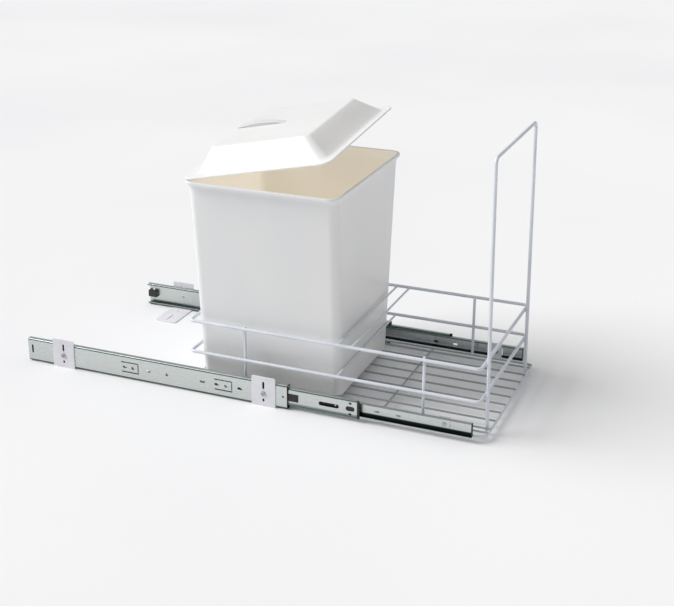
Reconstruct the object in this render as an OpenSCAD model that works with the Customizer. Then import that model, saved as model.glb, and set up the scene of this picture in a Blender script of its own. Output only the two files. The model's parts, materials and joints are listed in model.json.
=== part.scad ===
// Pull-out waste bin: wire frame on two ball-bearing slides, with a bin and a loose lid.
// Y = 0 is the handle's plane and Z = 0 the base wire's centre until place() moves them.

/* [Wire frame] */
// Width of the rings, wire centre to wire centre
ring_w = 316; // [240:1:420]
// Depth of the rings, wire centre to wire centre
ring_d = 559; // [400:1:700]
// Height of the lower ring above the base wire
lower_z = 62.5; // [40:0.5:100]
// Height of the upper ring above the base wire
upper_z = 124; // [90:0.5:200]
// Bend radius of the rings
ring_r = 9; // [8:0.5:30]
// Wire diameter of the rings and the base
ring_wire = 6; // [4:0.1:8]
// Wire diameter of the side posts
post_wire = 5.4; // [3:0.1:7]
// Distance of the front side posts from the handle plane
post_front_y = 110.5; // [60:0.5:160]
// Distance of the rear side posts from the handle plane
post_rear_y = 455; // [300:0.5:540]
// Wire diameter of the divider wires
divider_wire = 4; // [3:0.1:6]
// Clear space between the two upper divider wires, centre to centre
divider_gap = 25.6; // [15:0.1:60]
// Wire diameter of the floor wires
floor_wire = 3.5; // [2:0.1:5]
// Pitch of the floor wires
floor_pitch = 34.3; // [20:0.1:50]
// Number of floor wires on each side of the middle one
floor_side_count = 4; // [2:1:6]
// Wire diameter of the cross wires under the floor
cross_wire = 3.5; // [2:0.1:5]
// Distance of the front cross wire from the handle plane
cross_front_y = 193; // [100:1:260]
// Distance of the rear cross wire from the handle plane
cross_rear_y = 430; // [300:1:540]
// Bend radius of the base wire
base_r = 17; // [8:0.5:30]

/* [Handle] */
// Width of the handle, wire centre to wire centre
loop_w = 262; // [180:1:310]
// Height of the handle above the base wire, to the wire's centre
loop_h = 488; // [300:1:600]
// Wire diameter of the handle
loop_wire = 6.5; // [5:0.1:9]
// Bend radius of the handle
loop_r = 11; // [8:0.5:40]
// How far the handle leans back, in degrees
loop_lean = 0.8; // [0:0.1:4]

/* [Slides] */
// Length of the cabinet and drawer members
slide_len = 559; // [400:1:700]
// Length of the middle members
middle_len = 500; // [350:1:640]
// Thickness of a closed slide
slide_t = 12.7; // [12.7:0.1:14]
// Height of the cabinet member
slide_h = 45.7; // [44:0.1:50]
// Height of the slides' centre above the base wire
slide_z = 14.4; // [13:0.1:30]
// Distance of the drawer members' front ends from the handle plane
drawer_y = 14.5; // [5:0.5:40]
// How far the left slide stands open
left_open = 343.5; // [0:0.5:559]
// How far the right slide stands open
right_open = 273.5; // [0:0.5:559]
// How far the left middle member stands out of the drawer member's front end
left_middle_out = 210; // [20:0.5:300]
// How far the right middle member stands out of the drawer member's front end
right_middle_out = 149.5; // [20:0.5:300]
// Sheet thickness of the cabinet member
cabinet_sheet = 1.3; // [1:0.1:2]
// Sheet thickness of the middle and drawer members
inner_sheet = 1.2; // [1:0.1:1.5]
// Diameter of the balls between the cabinet and the middle member
outer_ball_d = 4; // [3.6:0.1:4.4]
// Diameter of the balls between the middle and the drawer member
inner_ball_d = 2.8; // [2.6:0.1:3.4]
// Running clearance of a ball on each side
ball_clear = 0.1; // [0.05:0.01:0.2]
// Balls in each row
ball_count = 8; // [4:1:12]
// Pitch of the balls
ball_pitch = 22; // [12:1:26]
// Length of the outer ball cages
outer_cage_len = 240; // [180:1:260]
// Length of the inner ball cages
inner_cage_len = 200; // [180:1:210]
// Length of the rear bumpers
bumper_len = 20; // [10:1:30]
// Length of the release levers
lever_len = 36; // [25:1:50]

/* [Brackets] */
// Width of a bracket along the slide
bracket_w = 47.5; // [30:0.5:80]
// Sheet thickness of a bracket
bracket_t = 2; // [1.5:0.1:3]
// Height of a bracket above the foot's underside
bracket_h = 58; // [50:0.5:90]
// Length of a bracket's foot under the slide
foot_len = 88; // [50:1:120]
// Distance of the front bracket's centre from the cabinet member's front end
bracket_front = 47.5; // [30:0.5:120]
// Distance between the two brackets' centres
bracket_span = 429; // [250:1:470]
// Length of the slot in a foot
foot_slot = 30; // [15:1:50]
// Width of the slot in a foot
foot_slot_w = 5.5; // [4:0.1:8]
// Diameter of the round screw hole in a foot
foot_hole = 5; // [3:0.1:7]
// Diameter of the bracket and tab screws
screw_d = 5; // [3:0.1:6]
// Diameter of the bracket screw heads
head_d = 9; // [7:0.1:12]
// Width of the tabs between the frame and the drawer members
tab_w = 20; // [12:0.5:40]
// Sheet thickness of the tabs
tab_t = 2; // [1.5:0.1:3]

/* [Bin] */
// Width of the bin over its rim
rim_w = 339; // [240:1:400]
// Depth of the bin over its rim
rim_d = 298; // [200:0.5:360]
// Height of the bin
bin_h = 390.5; // [250:0.5:450]
// Width of the bin at its bottom
bottom_w = 248; // [160:1:320]
// Depth of the bin at its bottom
bottom_d = 283; // [180:1:340]
// How far the rim stands out at each side
rim_side = 12.5; // [4:0.5:20]
// How far the rim stands out at the front and the rear
rim_end = 4; // [1:0.5:20]
// Wall thickness of the bin
bin_wall = 2.5; // [1.5:0.1:4]
// Corner radius of the bin at its top
bin_r = 18; // [12:0.5:40]
// Corner radius of the bin at its bottom
bin_bottom_r = 17; // [8:0.5:30]
// How far the bin stands off the middle, to the right
bin_x = -4; // [-8:0.5:8]
// Gap between the bin's wall and the ring behind it, at the rim's height
bin_rear_gap = 0.4; // [0.3:0.1:10]

/* [Lid] */
// Width of the lid
lid_w = 334; // [230:1:400]
// Depth of the lid
lid_d = 290; // [190:1:360]
// Height of the lid's dome
lid_h = 40; // [15:0.5:60]
// Thickness of the lid
lid_wall = 2.4; // [1.5:0.1:4]
// Corner radius of the lid
lid_r = 20; // [12:0.5:40]
// Angle at which the lid stands open
lid_tilt = 13; // [0:0.5:40]
// Turn of the line about which the lid is lifted
lid_skew = 20; // [0:1:40]
// Length of the grip on the lid
grip_len = 104; // [60:1:140]
// Height of the grip on the lid
grip_h = 6.5; // [3:0.5:12]

/* [Hidden] */
$fn = 48;
eps = 0.01;
weld = 0.05;      // gap left where two round wires are welded
rest_gap = 0.3;   // running or resting clearance
band = 0.4;       // height of the upright band where two hulls meet

// slide section, outwards from the frame
web_in = ring_w / 2 + ring_wire + 3.8;            // drawer member's back, from the mid-plane
cab_in_z = slide_h / 2 - cabinet_sheet;           // inside of the cabinet member
mid_z = cab_in_z - outer_ball_d - 2 * ball_clear; // outside of the middle member
mid_in_z = mid_z - inner_sheet;
drw_z = mid_in_z - inner_ball_d - 2 * ball_clear; // outside of the drawer member
drw_t = 7.5;                                      // depth of the drawer member
mid_t0 = 2.6;
mid_t1 = slide_t - cabinet_sheet - 1.2;           // outside of the middle member's web
outer_ball_t = 7;
inner_ball_t = 6.2;
outer_ball_z = (cab_in_z + mid_z) / 2;
inner_ball_z = (mid_in_z + drw_z) / 2;
lip = 2.65;                                       // depth of the lips that hold the balls

// stations along the slides
left_cab_y = drawer_y + left_open;
right_cab_y = drawer_y + right_open;
left_mid_y = drawer_y + left_middle_out;
right_mid_y = drawer_y + right_middle_out;
cage_out = 20;                                    // outer cage ahead of the cabinet member
cap_len = 24;
// the inner cage meets the cap when the slide is fully open
left_inner_y = left_mid_y + cap_len + 2 + (slide_len - left_open) / 4;
right_inner_y = right_mid_y + cap_len + 2 + (slide_len - right_open) / 4;
lever_y = 262;

// stations of the frame
// front of a ring that stands behind the leaning handle at height z, in steps of 0.05
function behind_loop(z) = ceil(20 * (loop_wire / 2 / cos(loop_lean) + ring_wire / 2
  + (z + ring_wire / 2) * tan(loop_lean))) / 20 + weld;
ring_y1 = (loop_wire + ring_wire) / 2 + weld + ring_d;
base_y0 = -(loop_wire + ring_wire) / 2 - weld;
base_x = web_in - ring_wire / 2;
post_x = ring_w / 2 - (ring_wire + post_wire) / 2 - weld;
floor_z = (ring_wire + floor_wire) / 2 + weld;
cross_z = floor_z - (floor_wire + cross_wire) / 2 - weld;
foot_z = slide_z - slide_h / 2 - bracket_t;       // underside of the feet
lift = -foot_z;
mid_y = (left_cab_y + slide_len + base_y0 - ring_wire / 2) / 2;
bin_z = floor_z + floor_wire / 2 + rest_gap;
bin_rear_y = ring_y1 - ring_wire / 2 - bin_rear_gap;   // rear wall at its top
bin_cy = bin_rear_y - rim_d / 2 + rim_end;
rim_z = bin_z + bin_h;
bin_front_low = bin_cy - bottom_d / 2;
lower_div_y = bin_front_low - divider_wire / 2 - 1.5 - rest_gap;
upper_div_y = lower_div_y - 1.8;
tab_front_y = 66;
tab_rear_y = 500;
lid_pivot = [bin_x - rim_w / 2 + 1, bin_cy + rim_d / 2 - 1, rim_z + rest_gap];

frame_col = [0.93, 0.94, 0.96];
steel_col = [0.72, 0.76, 0.75];
black_col = [0.05, 0.05, 0.055];
bracket_col = [0.84, 0.84, 0.88];
bin_col = [0.88, 0.88, 0.89];
lid_col = [0.94, 0.94, 0.94];

module place() { translate([0, -mid_y, lift]) children(); }

// s = 1 is the right side, s = -1 the left; inside it X runs outwards from the drawer member
module side(s) { mirror([s < 0 ? 1 : 0, 0, 0]) translate([web_in, 0, slide_z]) children(); }

module wire_x(x0, x1, y, z, d) { translate([x0, y, z]) rotate([0, 90, 0]) cylinder(h = x1 - x0, d = d); }
module wire_y(x, y0, y1, z, d) { translate([x, y0, z]) rotate([-90, 0, 0]) cylinder(h = y1 - y0, d = d); }
module wire_z(x, y, z0, z1, d) { translate([x, y, z0]) cylinder(h = z1 - z0, d = d); }

// closed rectangular wire ring, w wide, from y0 to y1
module wire_ring(w, y0, y1, z, r, d) {
  for (s = [-1, 1]) wire_y(s * w / 2, y0 + r, y1 - r, z, d);
  for (y = [y0, y1]) wire_x(-w / 2 + r, w / 2 - r, y, z, d);
  for (c = [[1, 1, 0], [-1, 1, 90], [-1, -1, 180], [1, -1, 270]])
    translate([c[0] * (w / 2 - r), c[1] > 0 ? y1 - r : y0 + r, z]) rotate([0, 0, c[2]])
      rotate_extrude(angle = 90) translate([r, 0]) circle(d = d);
}

// rectangle with round corners: x0 to x1, y0 to y1
module rrect(x0, x1, y0, y1, r) {
  translate([x0 + r, y0]) square([x1 - x0 - 2 * r, y1 - y0]);
  translate([x0, y0 + r]) square([x1 - x0, y1 - y0 - 2 * r]);
  for (x = [x0 + r, x1 - r], y = [y0 + r, y1 - r]) translate([x, y]) circle(r = r);
}

// a section drawn with X outwards and Y up, run from y0 over len
module run(y0, len) { translate([0, y0 + len, 0]) rotate([90, 0, 0]) linear_extrude(len) children(); }

module block(t0, t1, y0, y1, z0, z1) { translate([t0, y0, z0]) cube([t1 - t0, y1 - y0, z1 - z0]); }

// hole through a slide's web: round, or a slot of length l along Y (or along Z)
module web_hole(y, z, d, l = 0, up = false) {
  e = max(l - d, 0) / 2;
  for (k = [-1, 1]) translate([-1, y + (up ? 0 : k * e), z + (up ? k * e : 0)])
    rotate([0, 90, 0]) cylinder(h = slide_t + bracket_t + 6, d = d);
  if (e > 0) translate([-1, y - (up ? d / 2 : e), z - (up ? e : d / 2)])
    cube([slide_t + bracket_t + 6, up ? d : 2 * e, up ? 2 * e : d]);
}

// ---- wire frame ----
module handle_loop() {
  color(frame_col) place() rotate([-loop_lean, 0, 0]) {
    for (s = [-1, 1]) wire_z(s * loop_w / 2, 0, -ring_wire / 2, loop_h - loop_r, loop_wire);
    wire_x(-loop_w / 2 + loop_r, loop_w / 2 - loop_r, 0, loop_h, loop_wire);
    for (s = [0, 1]) mirror([s, 0, 0]) translate([loop_w / 2 - loop_r, 0, loop_h - loop_r])
      rotate([90, 0, 0]) rotate_extrude(angle = 90) translate([loop_r, 0]) circle(d = loop_wire);
  }
}
module upper_ring() {
  color(frame_col) place() wire_ring(ring_w, behind_loop(upper_z), ring_y1, upper_z, ring_r, ring_wire);
}
module lower_ring() {
  color(frame_col) place() wire_ring(ring_w, behind_loop(lower_z), ring_y1, lower_z, ring_r, ring_wire);
}
module side_posts() {
  color(frame_col) place() for (s = [-1, 1], y = [post_front_y, post_rear_y])
    wire_z(s * post_x, y, floor_z + floor_wire / 2 + weld, upper_z + ring_wire / 2 + 1, post_wire);
}
module upper_dividers() {
  half = (ring_w - ring_wire) / 2 - weld;
  color(frame_col) place() for (k = [0, 1])
    wire_x(-half, half, upper_div_y - k * divider_gap, upper_z, divider_wire);
}
module lower_divider() {
  half = (ring_w - ring_wire) / 2 - weld;
  color(frame_col) place() wire_x(-half, half, lower_div_y, lower_z, divider_wire);
}
module base_ring() { color(frame_col) place() wire_ring(2 * base_x, base_y0, ring_y1, 0, base_r, ring_wire); }
module floor_wires() {
  color(frame_col) place() {
    for (k = [-floor_side_count:floor_side_count])
      wire_y(k * floor_pitch, base_y0 - 1.5, ring_y1 + 1.5, floor_z, floor_wire);
    for (s = [-1, 1]) wire_y(s * post_x, base_y0 - 1.5, ring_y1 + 1.5, floor_z, floor_wire);
  }
}
module cross_wires() {
  half = base_x - ring_wire / 2 - weld;
  color(frame_col) place() for (y = [cross_front_y, cross_rear_y])
    wire_x(-half, half, y, cross_z, cross_wire);
}
module slide_tabs() {
  color(frame_col) place() for (s = [-1, 1], y = [tab_front_y, tab_rear_y]) side(s) difference() {
    block(-tab_t, 0, y - tab_w / 2, y + tab_w / 2, ring_wire / 2 + weld - slide_z, drw_z + 2);
    translate([-tab_t - 1, y, 0]) rotate([0, 90, 0]) cylinder(h = tab_t + 2, d = screw_d + 0.2);
  }
}
module tab_screws() {
  color(steel_col) place() for (s = [-1, 1], y = [tab_front_y, tab_rear_y]) side(s)
    translate([0, y, 0]) rotate([0, 90, 0]) {
      translate([0, 0, -tab_t - 1.6]) cylinder(h = 1.6, d = screw_d + 3);
      translate([0, 0, -tab_t - eps]) cylinder(h = tab_t + inner_sheet + 2 * eps, d = screw_d);
      translate([0, 0, inner_sheet]) cylinder(h = 1.2, d = screw_d + 3);
    }
}

// ---- slides ----
module drawer_member(s) {
  y0 = drawer_y;
  color(steel_col) place() side(s) {
    difference() {
      run(y0, slide_len) difference() {
        rrect(0, drw_t + 4, -drw_z, drw_z, 2);
        rrect(inner_sheet, drw_t + 6, -drw_z + inner_sheet, drw_z - inner_sheet, 0.8);
        translate([drw_t, -slide_h]) square([slide_t, 2 * slide_h]);
      }
      for (y = [tab_front_y, tab_rear_y]) web_hole(y, 0, screw_d + 0.2);
      web_hole(tab_front_y - 11, 0, 1.6, 14, true);
      for (y = [150, 190, 420]) web_hole(y, 0, 4.6, 9);
    }
    // front end turned outwards, and the lever's pivot pin
    block(inner_sheet - eps, drw_t - 0.5, y0, y0 + inner_sheet,
      -drw_z + inner_sheet - eps, drw_z - inner_sheet + eps);
    translate([inner_sheet - eps, lever_y + 5, 0]) rotate([0, 90, 0])
      cylinder(h = drw_t - inner_sheet - 0.4, d = 3);
  }
}
module left_drawer_member() { drawer_member(-1); }
module right_drawer_member() { drawer_member(1); }

module release_lever(s) {
  t0 = inner_sheet + rest_gap;
  t1 = drw_t - 1.3;
  color(black_col) place() side(s) difference() {
    union() {
      translate([t0, lever_y + 5, 0]) rotate([0, 90, 0]) cylinder(h = t1 - t0, d = 9);
      block(t0, t1, lever_y + 5, lever_y + lever_len - 4, -3.2, 3.2);
      translate([t0, lever_y + lever_len - 4, 0]) rotate([0, 90, 0]) cylinder(h = t1 - t0, d = 8);
    }
    translate([t0 - 1, lever_y + 5, 0]) rotate([0, 90, 0]) cylinder(h = slide_t, d = 3.4);
    for (k = [1:4]) block(t1 - 0.6, t1 + 1, lever_y + 8 + 4 * k, lever_y + 9.6 + 4 * k, -6, 6);
  }
}
module left_release_lever() { release_lever(-1); }
module right_release_lever() { release_lever(1); }

module middle_member(s, y0) {
  color(steel_col) place() side(s) difference() {
    run(y0, middle_len) difference() {
      rrect(mid_t0, mid_t1, -mid_z, mid_z, 2.2);
      rrect(mid_t0 + inner_sheet, mid_t1 - inner_sheet, -mid_in_z, mid_in_z, 1);
      translate([-1, -mid_in_z + 2.05]) square([mid_t0 + inner_sheet + 1.1, 2 * mid_in_z - 4.1]);
    }
    web_hole(y0 + 13, 0, 9, 17);
    for (k = [-1, 1]) web_hole(y0 + 13, k * 10.6, 4.2, 5.6);
    web_hole(y0 + 54, 0, 7.6, 39);
    for (y = [180, 300, 430]) web_hole(y0 + y, 0, 6, 12);
  }
}
module left_middle_member() { middle_member(-1, left_mid_y); }
module right_middle_member() { middle_member(1, right_mid_y); }

module middle_cap(s, y0) {
  color(black_col) place() side(s) {
    block(drw_t + rest_gap, mid_t1 - inner_sheet, y0 - 2, y0 + cap_len, -drw_z + 0.6, drw_z - 0.6);
    block(drw_t + rest_gap, mid_t1, y0 - 4.5, y0, -mid_z, mid_z);
  }
}
module left_middle_cap() { middle_cap(-1, left_mid_y); }
module right_middle_cap() { middle_cap(1, right_mid_y); }

// ball cage: a web with two arms, bored for the balls
module cage(t0, web0, web1, arm_z, arm_t, y0, len, ball_t, bd) {
  difference() {
    union() {
      block(web0, web1, y0, y0 + len, -arm_z - arm_t / 2, arm_z + arm_t / 2);
      for (k = [-1, 1]) block(t0, web1, y0, y0 + len, k * arm_z - arm_t / 2, k * arm_z + arm_t / 2);
    }
    for (i = [0:ball_count - 1]) translate([ball_t, ball_station(y0, len, i), -slide_h])
      cylinder(h = 2 * slide_h, d = bd + 0.3);
    win = (len - 48) / 4;   // windows of the web
    for (i = [0:3])
      block(web0 - 1, web1 + 1, y0 + 28 + i * win, y0 + 20 + (i + 1) * win, -arm_z + 6, arm_z - 6);
  }
}
function ball_station(y0, len, i) = y0 + len / 2 + (i - (ball_count - 1) / 2) * ball_pitch;
module ball_rows(y0, len, ball_t, z, d) {
  for (i = [0:ball_count - 1], k = [-1, 1])
    translate([ball_t, ball_station(y0, len, i), k * z]) sphere(d = d);
}

module inner_cage(s, y0) {
  color(steel_col) place() side(s)
    cage(mid_t0 + inner_sheet + 0.3, drw_t + 0.4, mid_t1 - inner_sheet - 0.3, inner_ball_z, 1.2, y0,
      inner_cage_len, inner_ball_t, inner_ball_d);
}
module left_inner_cage() { inner_cage(-1, left_inner_y); }
module right_inner_cage() { inner_cage(1, right_inner_y); }
module inner_balls(s, y0) {
  color(steel_col) place() side(s) ball_rows(y0, inner_cage_len, inner_ball_t, inner_ball_z, inner_ball_d);
}
module left_inner_balls() { inner_balls(-1, left_inner_y); }
module right_inner_balls() { inner_balls(1, right_inner_y); }

module outer_cage(s, y0) {
  color(black_col) place() side(s) difference() {
    cage(lip + 1.5, mid_t1 + 0.15, slide_t - cabinet_sheet - 0.15, outer_ball_z, 1.2, y0 - cage_out,
      outer_cage_len, outer_ball_t, outer_ball_d);
    // only a narrow tongue stands out of the cabinet member
    for (k = [0, 1]) block(0, slide_t, y0 - cage_out - 1, y0 + 4, k ? 7 : -slide_h, k ? slide_h : -7);
  }
}
module left_outer_cage() { outer_cage(-1, left_cab_y); }
module right_outer_cage() { outer_cage(1, right_cab_y); }
module outer_balls(s, y0) {
  color(steel_col) place() side(s) ball_rows(y0, outer_cage_len, outer_ball_t, outer_ball_z, outer_ball_d);
}
module left_outer_balls() { outer_balls(-1, left_cab_y - cage_out); }
module right_outer_balls() { outer_balls(1, right_cab_y - cage_out); }

module cabinet_member(s, y0) {
  color(steel_col) place() side(s) difference() {
    run(y0, slide_len) difference() {
      rrect(1.5, slide_t, -slide_h / 2, slide_h / 2, 2.6);
      rrect(1.5 + inner_sheet, slide_t - cabinet_sheet, -cab_in_z, cab_in_z, 1.3);
      translate([-1, -cab_in_z + lip]) square([1.5 + inner_sheet + 1.1, 2 * (cab_in_z - lip)]);
    }
    // screw holes and slots of the web
    web_hole(y0 + 9, 0, 4);
    web_hole(y0 + 96, 0, 4.6, 10);
    web_hole(y0 + 173.5, 0, 4.6, 10);
    web_hole(y0 + 248.7, 0, 6);
    web_hole(y0 + 288.6, 0, 4.6, 10);
    web_hole(y0 + slide_len - 10, 2, 4, 17, true);
    for (b = [0, 1]) web_hole(y0 + bracket_front + b * bracket_span, 0, screw_d + 0.2);
    // the two tongues that are cut on three sides, with their holes
    for (t = [[111.5, 124.7, 144], [310, 322.5, 340]]) {
      for (k = [-1, 1]) block(8, 20, y0 + t[0], y0 + t[0] + 37, k * 10 - 1.1, k * 10 + 1.1);
      block(8, 20, y0 + t[0], y0 + t[0] + 2.2, -10, 10);
      web_hole(y0 + t[1], 0, 6.6);
      web_hole(y0 + t[2], 0, 4.6, 9);
    }
    // slot in the bottom flange near the rear end
    block(5, 9.5, y0 + slide_len - 30, y0 + slide_len - 22, -slide_h, -slide_h / 2 + 3);
  }
}
module left_cabinet_member() { cabinet_member(-1, left_cab_y); }
module right_cabinet_member() { cabinet_member(1, right_cab_y); }

module bumper(s, y0) {
  y1 = y0 + slide_len;
  color(black_col) place() side(s)
    block(3.6, slide_t - cabinet_sheet, y1 - bumper_len, y1, -7.5, 7.5);
}
module left_bumper() { bumper(-1, left_cab_y); }
module right_bumper() { bumper(1, right_cab_y); }

// L bracket: a plate on the outside of the slide and a foot turned in under it
module bracket(s, yc) {
  z0 = -slide_h / 2 - bracket_t;
  t1 = slide_t + bracket_t;
  color(bracket_col) place() side(s) difference() {
    union() {
      block(slide_t, t1, yc - bracket_w / 2, yc + bracket_w / 2, z0, z0 + bracket_h);
      block(t1 - foot_len, t1, yc - bracket_w / 2, yc + bracket_w / 2, z0, z0 + bracket_t);
    }
    web_hole(yc, 0, screw_d + 0.2);
    web_hole(yc, 16.5, 4.4, 15, true);
    web_hole(yc, -13, 4.4, 6, true);
    // round screw hole and cross slot of the foot
    translate([-13, yc, z0 - 1]) cylinder(h = bracket_t + 2, d = foot_hole);
    for (k = [-1, 1]) translate([-50 + k * (foot_slot - foot_slot_w) / 2, yc, z0 - 1])
      cylinder(h = bracket_t + 2, d = foot_slot_w);
    translate([-50 - (foot_slot - foot_slot_w) / 2, yc - foot_slot_w / 2, z0 - 1])
      cube([foot_slot - foot_slot_w, foot_slot_w, bracket_t + 2]);
    // rounded corners of the foot and the plate
    for (k = [-1, 1]) {
      translate([t1 - foot_len, yc + k * bracket_w / 2, z0 - 1]) corner_cut(5, bracket_t + 2);
      translate([slide_t - 1, yc + k * bracket_w / 2, z0 + bracket_h]) rotate([0, 90, 0])
        corner_cut(2.5, bracket_t + 2);
    }
  }
}
// what a round corner of radius r takes away, drawn about the sharp corner
module corner_cut(r, h) {
  difference() {
    translate([-r, -r, 0]) cube([2 * r, 2 * r, h]);
    for (x = [-r, r], y = [-r, r]) translate([x, y, -1]) cylinder(h = h + 2, r = r);
  }
}
module left_front_bracket() { bracket(-1, left_cab_y + bracket_front); }
module left_rear_bracket() { bracket(-1, left_cab_y + bracket_front + bracket_span); }
module right_front_bracket() { bracket(1, right_cab_y + bracket_front); }
module right_rear_bracket() { bracket(1, right_cab_y + bracket_front + bracket_span); }

module bracket_screws(s, y0) {
  color(steel_col) place() side(s) for (b = [0, 1])
    translate([0, y0 + bracket_front + b * bracket_span, 0]) rotate([0, 90, 0]) difference() {
      union() {
        translate([0, 0, slide_t - cabinet_sheet]) cylinder(h = cabinet_sheet + bracket_t + eps, d = screw_d);
        translate([0, 0, slide_t + bracket_t]) cylinder(h = 2.2, d = head_d);
      }
      for (a = [0, 90]) rotate([0, 0, a])
        translate([-2.4, -0.5, slide_t + bracket_t + 1.2]) cube([4.8, 1, 2]);
    }
}
module left_bracket_screws() { bracket_screws(-1, left_cab_y); }
module right_bracket_screws() { bracket_screws(1, right_cab_y); }

// ---- bin and lid ----
// four posts at the corners of a w by d rectangle about cy, for a hull
module corners(w, d, cy, r, z, h = band) {
  for (x = [-1, 1], y = [-1, 1]) translate([x * (w / 2 - r), cy + y * (d / 2 - r), z]) cylinder(h = h, r = r);
}
module container() {
  neck_w = rim_w - 2 * rim_side;
  neck_d = rim_d - 2 * rim_end;
  neck_z = rim_z - 17;
  w2 = 2 * bin_wall;
  color(bin_col) place() translate([bin_x, 0, 0]) difference() {
    union() {
      hull() {
        corners(bottom_w - 8, bottom_d - 8, bin_cy, bin_bottom_r - 4, bin_z);
        corners(bottom_w, bottom_d, bin_cy, bin_bottom_r, bin_z + 5);
        corners(neck_w, neck_d, bin_cy, bin_r, neck_z);
      }
      hull() {
        corners(neck_w, neck_d, bin_cy, bin_r, neck_z);
        corners(rim_w - 7, rim_d - 2, bin_cy, bin_r + 2, rim_z - 6.5);
      }
      hull() {
        corners(rim_w - 3, rim_d - 1.6, bin_cy, bin_r + 2, rim_z - 6.5);
        corners(rim_w, rim_d, bin_cy, bin_r + 3, rim_z - 5, 3.4);
        corners(rim_w - 3, rim_d - 2, bin_cy, bin_r + 2, rim_z - band);
      }
    }
    hull() {
      corners(bottom_w - 8 - w2, bottom_d - 8 - w2, bin_cy, bin_bottom_r - 6, bin_z + bin_wall);
      corners(bottom_w - w2, bottom_d - w2, bin_cy, bin_bottom_r - bin_wall, bin_z + bin_wall + 5);
      corners(neck_w - w2, neck_d - w2, bin_cy, bin_r - bin_wall, neck_z);
    }
    hull() {
      corners(neck_w - w2, neck_d - w2, bin_cy, bin_r - bin_wall, neck_z);
      corners(rim_w - 14, neck_d - w2 + 2, bin_cy, bin_r - 1, rim_z + 0.1);
    }
  }
}

// lid drawn flat, with its rear left corner on the pivot, then lifted
module container_lid() {
  cy = -lid_d / 2;
  foot_w = lid_w - 42;   // dome at the flange
  foot_d = lid_d - 34;
  foot_cy = cy - 3;
  top_w = lid_w - 108;   // flat top of the dome
  top_d = lid_d - 95;
  top_cy = cy + 4.5;
  color(lid_col) place() translate(lid_pivot) rotate(a = -lid_tilt, v = [cos(lid_skew), sin(lid_skew), 0])
    translate([lid_w / 2, 0, 0]) {
      difference() {
        union() {
          hull() {
            corners(lid_w, lid_d, cy, lid_r, 0, 2.2);
            corners(lid_w - 3, lid_d - 3, cy, lid_r - 1, 3.2 - band);
          }
          hull() {
            corners(foot_w, foot_d, foot_cy, 14, 3.2 - band);
            corners(top_w, top_d, top_cy, 9, lid_h - band);
          }
        }
        hull() {
          corners(foot_w - 2 * lid_wall, foot_d - 2 * lid_wall, foot_cy, 12, -0.2);
          corners(top_w - 2 * lid_wall, top_d - 2 * lid_wall, top_cy, 7, lid_h - lid_wall - band);
        }
      }
      // low arched grip
      intersection() {
        translate([-8, cy - grip_len / 2 + 52, lid_h - 1]) cube([16, grip_len, grip_h + 2]);
        translate([-9, cy + 52, lid_h + grip_h - grip_arch]) rotate([0, 90, 0])
          cylinder(h = 18, r = grip_arch, $fn = 160);
      }
    }
}
grip_arch = (grip_len * grip_len / 4 + grip_h * grip_h) / (2 * grip_h);

handle_loop();
upper_ring();
lower_ring();
side_posts();
upper_dividers();
lower_divider();
base_ring();
floor_wires();
cross_wires();
slide_tabs();
tab_screws();
container();
container_lid();
left_drawer_member();
right_drawer_member();
left_release_lever();
right_release_lever();
left_middle_member();
right_middle_member();
left_middle_cap();
right_middle_cap();
left_inner_cage();
right_inner_cage();
left_inner_balls();
right_inner_balls();
left_outer_cage();
right_outer_cage();
left_outer_balls();
right_outer_balls();
left_cabinet_member();
right_cabinet_member();
left_bumper();
right_bumper();
left_front_bracket();
left_rear_bracket();
right_front_bracket();
right_rear_bracket();
left_bracket_screws();
right_bracket_screws();
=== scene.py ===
# %% [markdown]
# # A pull-out waste bin in Blender
# A plastic bin with a loose lid stands in a white wire frame. The frame runs on two ball-bearing slides that
# are screwed down by L brackets. The engineering model gives every part its place and size; this lesson
# gives each part the surface that a hand would feel: round bent wire with welds, rolled zinc-plated steel
# with eased edges, and moulded plastic with a rim, a flare and soft corners.

# %% Load the frame
import json
import math

import bmesh
import bpy
from mathutils import Matrix, Vector


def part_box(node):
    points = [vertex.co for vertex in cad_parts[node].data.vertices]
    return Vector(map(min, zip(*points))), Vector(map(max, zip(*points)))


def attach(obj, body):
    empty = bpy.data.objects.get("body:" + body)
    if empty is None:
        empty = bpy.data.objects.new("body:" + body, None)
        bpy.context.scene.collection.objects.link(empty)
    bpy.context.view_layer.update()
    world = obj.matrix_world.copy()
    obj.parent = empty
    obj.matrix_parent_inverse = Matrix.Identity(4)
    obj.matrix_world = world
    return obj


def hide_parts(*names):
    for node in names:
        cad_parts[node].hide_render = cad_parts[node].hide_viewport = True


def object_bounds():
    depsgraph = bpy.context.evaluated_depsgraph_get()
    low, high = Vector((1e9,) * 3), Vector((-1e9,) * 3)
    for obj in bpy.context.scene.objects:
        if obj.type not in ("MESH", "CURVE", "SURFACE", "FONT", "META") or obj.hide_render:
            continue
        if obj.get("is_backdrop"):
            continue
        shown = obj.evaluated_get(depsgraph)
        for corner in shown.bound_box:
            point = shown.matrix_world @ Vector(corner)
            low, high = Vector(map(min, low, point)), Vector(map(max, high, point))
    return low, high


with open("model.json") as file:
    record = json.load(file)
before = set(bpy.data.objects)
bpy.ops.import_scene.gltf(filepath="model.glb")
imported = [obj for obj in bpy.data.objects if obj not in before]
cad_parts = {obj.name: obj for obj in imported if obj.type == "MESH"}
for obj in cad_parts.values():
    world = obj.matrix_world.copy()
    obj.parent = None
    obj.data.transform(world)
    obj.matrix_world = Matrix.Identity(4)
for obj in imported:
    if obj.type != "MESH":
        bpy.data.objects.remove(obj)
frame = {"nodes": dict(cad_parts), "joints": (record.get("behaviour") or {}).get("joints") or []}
cad_low, cad_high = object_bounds()
nodes = frame["nodes"]
MM = 0.001

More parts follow.
